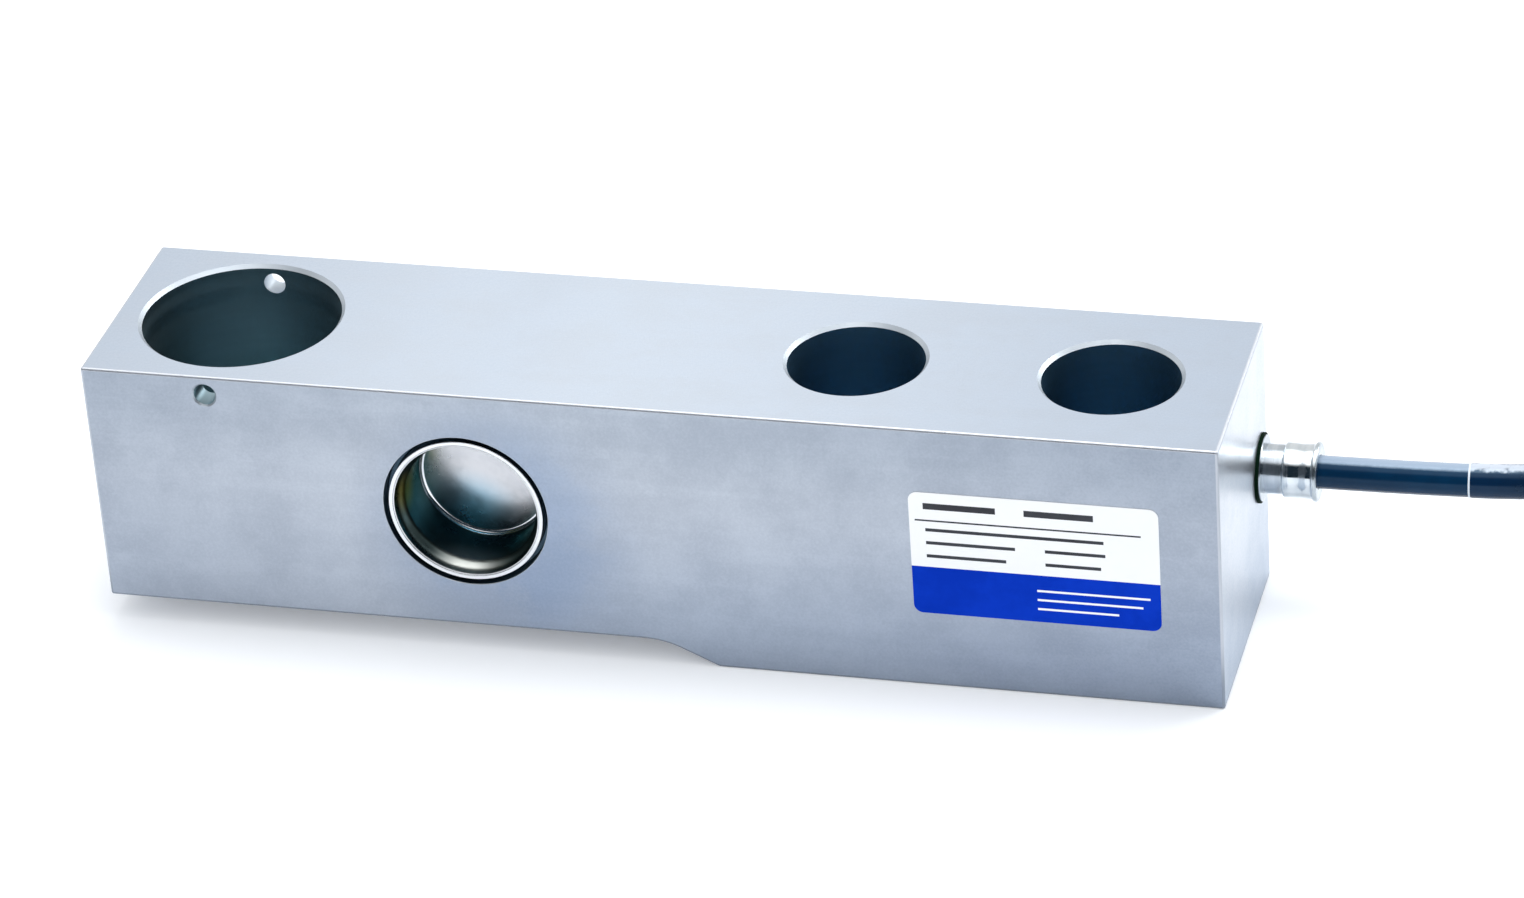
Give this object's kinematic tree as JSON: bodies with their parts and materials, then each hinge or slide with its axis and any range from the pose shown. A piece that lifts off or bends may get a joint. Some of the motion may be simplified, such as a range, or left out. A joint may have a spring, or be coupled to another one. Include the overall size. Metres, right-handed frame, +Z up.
{
  "type": "shear beam load cell",
  "caption": "Single-ended shear beam load cell in stainless steel, with a blind load bore, bolt holes, welded gauge cups and a fixed cable.",
  "frame": {"origin": "middle of the beam, on the plane of the mounting pad", "axes": "+X along the beam to the cable end, +Y to the rear face, +Z up to the face with the load bore"},
  "size_m": [0.3997, 0.0476, 0.0437],
  "materials": {
    "stainless_beam": "fine brushed stainless steel",
    "drawn_steel": "bright drawn stainless sheet with a polished weld",
    "turned_steel": "turned stainless steel",
    "bright_ferrule": "bright turned ferrule",
    "black_rubber": "black rubber",
    "cable_jacket": "smooth dark blue-black jacket",
    "shrink_tube": "satin shrink tube",
    "tie_band": "black tie",
    "label_film": "satin film with a blue lower field",
    "polyimide_film": "amber film",
    "gauge_foil": "etched foil",
    "bare_copper": "bare copper wire",
    "solder": "solder on a laminate strip",
    "board_laminate": "green lacquered laminate",
    "chip_ceramic": "glazed ceramic chips",
    "clear_sleeve": "translucent sleeve",
    "link_wire": "enamelled and insulated wire",
    "tinned_wire": "tinned copper",
    "red_insulation": "red insulation",
    "black_insulation": "black insulation",
    "green_insulation": "green insulation",
    "white_insulation": "white insulation"
  },
  "bodies": {
    "root": {"beam_body": "stainless_beam", "front_sealing_cup": "drawn_steel", "rear_sealing_cup": "drawn_steel", "front_gauge_carrier": "polyimide_film", "rear_gauge_carrier": "polyimide_film", "front_gauge_grid": "gauge_foil", "rear_gauge_grid": "gauge_foil", "front_gauge_leads": "bare_copper", "rear_gauge_leads": "bare_copper", "front_solder_terminals": "solder", "rear_solder_terminals": "solder", "compensation_board": "board_laminate", "trim_resistors": "chip_ceramic", "web_sleeve": "clear_sleeve", "bridge_wires": "link_wire", "board_links": "link_wire", "cable_cores": "link_wire", "gland_body": "turned_steel", "crimp_ferrule": "bright_ferrule", "cable_bush": "black_rubber", "sealing_ring": "black_rubber", "cable_lead": "cable_jacket", "shrink_sleeve": "shrink_tube", "cable_hank": "cable_jacket", "hank_tie": "tie_band", "red_core": "red_insulation", "black_core": "black_insulation", "screen_tail": "tinned_wire", "green_core": "green_insulation", "white_core": "white_insulation", "tinned_tips": "tinned_wire", "front_label": "label_film"}
  },
  "joints": []
}
